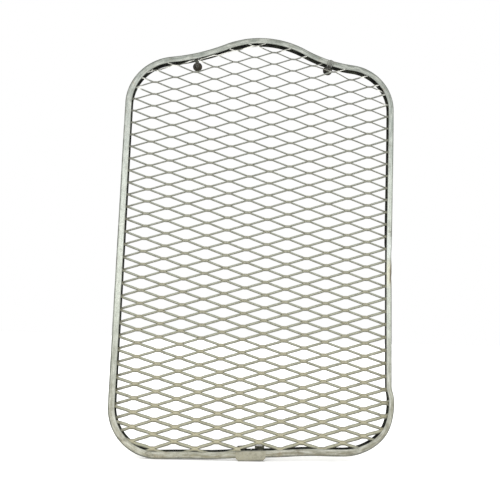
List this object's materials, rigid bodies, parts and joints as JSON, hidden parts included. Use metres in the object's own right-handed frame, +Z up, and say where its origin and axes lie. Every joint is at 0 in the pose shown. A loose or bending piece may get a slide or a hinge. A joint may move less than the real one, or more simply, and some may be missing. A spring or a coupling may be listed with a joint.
{
  "type": "fireplace screen",
  "caption": "Flat arched screen: a folded steel channel rim with rounded corners holds raised expanded metal, with a splice sleeve at the bottom and threaded clamp fixings behind.",
  "frame": {"origin": "middle of the footprint, level with the lowest point of the rim and the splice sleeve", "axes": "+Z up along the screen's height, +X to the right as seen from the front, front face towards -Y"},
  "size_m": [0.432, 0.0504, 0.6644],
  "materials": {
    "rim_zinc": "tarnished zinc coating, matt grey with bright worn sides and a warm cast towards the bottom",
    "mesh_steel": "dull zinc-coated expanded metal, grey-green at the top and beige at the bottom",
    "stud_steel": "dull plain steel thread with a little rust",
    "dark_steel": "near-black oxidised steel with olive-brown rust"
  },
  "bodies": {
    "screen": {"rim_channel": "rim_zinc", "mesh_panel": "mesh_steel", "splice_sleeve": "rim_zinc", "upper_right_bolt": "stud_steel", "upper_left_stud": "stud_steel", "lower_right_stud": "stud_steel", "lower_left_stud": "stud_steel"},
    "upper_right_washer": {"upper_right_washer": "dark_steel"},
    "upper_right_nut": {"upper_right_nut": "dark_steel"},
    "upper_left_washer": {"upper_left_washer": "dark_steel"},
    "upper_left_nut": {"upper_left_nut": "dark_steel"},
    "lower_right_clamp_pad": {"lower_right_clamp_pad": "dark_steel"},
    "lower_right_nut": {"lower_right_nut": "dark_steel"},
    "lower_left_clamp_pad": {"lower_left_clamp_pad": "dark_steel"},
    "lower_left_nut": {"lower_left_nut": "dark_steel"}
  },
  "joints": [
    {"name": "upper_right_washer_slide", "type": "slide", "parent": "screen", "child": "upper_right_washer", "axis": [0, -1, 0], "range_m": [-0.00254, 0.01397]},
    {"name": "upper_right_nut_turn", "type": "hinge", "parent": "upper_right_washer", "child": "upper_right_nut", "pos_m": [0.1112, 0.0098, 0.62647], "axis": [0, -1, 0], "range_deg": [-722, 3962]},
    {"name": "upper_left_washer_slide", "type": "slide", "parent": "screen", "child": "upper_left_washer", "axis": [0, -1, 0], "range_m": [-0.00051, 0.0254]},
    {"name": "upper_left_nut_turn", "type": "hinge", "parent": "upper_left_washer", "child": "upper_left_nut", "pos_m": [-0.1062, 0.0223, 0.62722], "axis": [0, -1, 0], "range_deg": [-146, 7202]},
    {"name": "lower_right_clamp_pad_slide", "type": "slide", "parent": "screen", "child": "lower_right_clamp_pad", "axis": [0, -1, 0], "range_m": [-0.00127, 0.00635]},
    {"name": "lower_right_nut_turn", "type": "hinge", "parent": "lower_right_clamp_pad", "child": "lower_right_nut", "pos_m": [0.01471, 0.0072, 0.0106], "axis": [0, -1, 0], "range_deg": [-362, 1802]},
    {"name": "lower_left_clamp_pad_slide", "type": "slide", "parent": "screen", "child": "lower_left_clamp_pad", "axis": [0, -1, 0], "range_m": [-0.00127, 0.00635]},
    {"name": "lower_left_nut_turn", "type": "hinge", "parent": "lower_left_clamp_pad", "child": "lower_left_nut", "pos_m": [-0.01207, 0.0072, 0.00972], "axis": [0, -1, 0], "range_deg": [-362, 1802]}
  ],
  "couplings": [
    {"joint": "upper_right_nut_turn", "follows": "upper_right_washer_slide", "rad_per_m": 4947.4},
    {"joint": "upper_left_nut_turn", "follows": "upper_left_washer_slide", "rad_per_m": 4947.4},
    {"joint": "lower_right_nut_turn", "follows": "lower_right_clamp_pad_slide", "rad_per_m": 4947.4},
    {"joint": "lower_left_nut_turn", "follows": "lower_left_clamp_pad_slide", "rad_per_m": 4947.4}
  ]
}
